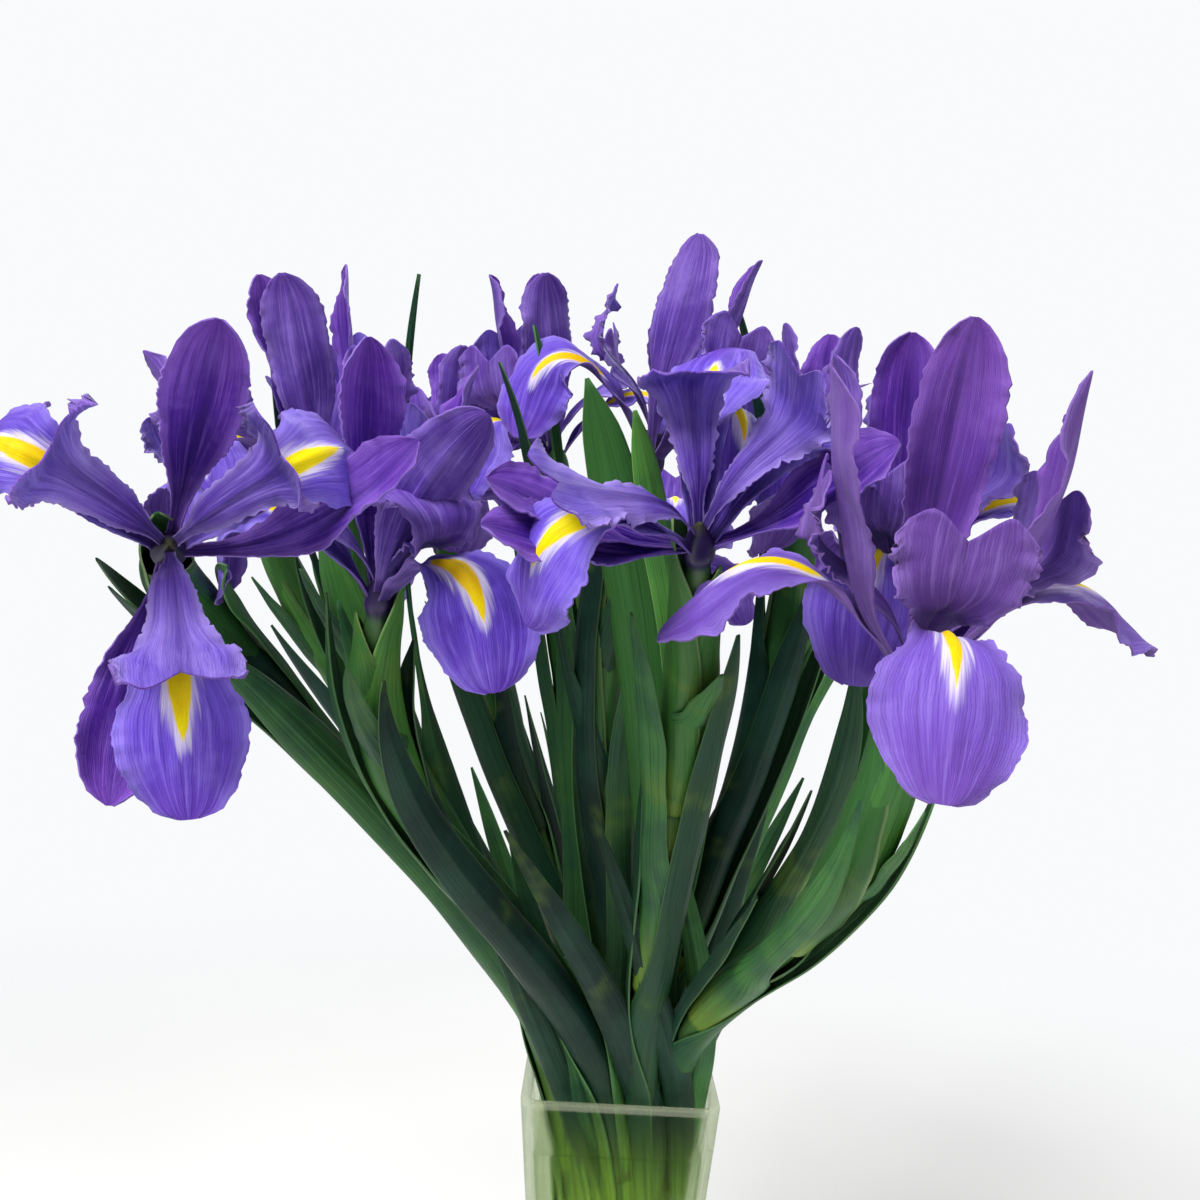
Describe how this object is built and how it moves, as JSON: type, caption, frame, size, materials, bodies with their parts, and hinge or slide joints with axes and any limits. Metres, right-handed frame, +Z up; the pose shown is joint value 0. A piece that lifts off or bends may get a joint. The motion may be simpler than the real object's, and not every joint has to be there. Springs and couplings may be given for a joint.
{
  "type": "irises in a vase",
  "caption": "Full bunch of blue-violet irises with leafy stems standing in water in a clear, square glass vase that flares to its rim.",
  "frame": {"origin": "centre of the vase's flat underside", "axes": "+Z up through the vase and the bunch, -Y towards the side the picture was taken from, +X to that picture's right"},
  "size_m": [0.3104, 0.3911, 0.4747],
  "materials": {
    "glass": "gloss",
    "water": "gloss",
    "green": "satin",
    "petal": "matte"
  },
  "bodies": {
    "root": {"vase": "glass", "water": "water", "leafy_stem_left_front": "green", "bloom_left_front": "petal", "leafy_stem_left_high": "green", "bloom_left_high": "petal", "leafy_stem_left_back": "green", "bloom_left_back": "petal", "leafy_stem_mid_left": "green", "bloom_mid_left": "petal", "leafy_stem_mid_back": "green", "bloom_mid_back": "petal", "leafy_stem_top_left": "green", "bloom_top_left": "petal", "leafy_stem_centre_front": "green", "bloom_centre_front": "petal", "leafy_stem_top_centre": "green", "bloom_top_centre": "petal", "leafy_stem_right_back": "green", "bloom_right_back": "petal", "leafy_stem_right_high": "green", "bloom_right_high": "petal", "leafy_stem_right_front": "green", "bloom_right_front": "petal", "leafy_stem_back_left": "green", "bloom_back_left": "petal", "leafy_stem_back_right": "green", "bloom_back_right": "petal", "leafy_stem_back_middle": "green", "bloom_back_middle": "petal"}
  },
  "joints": []
}
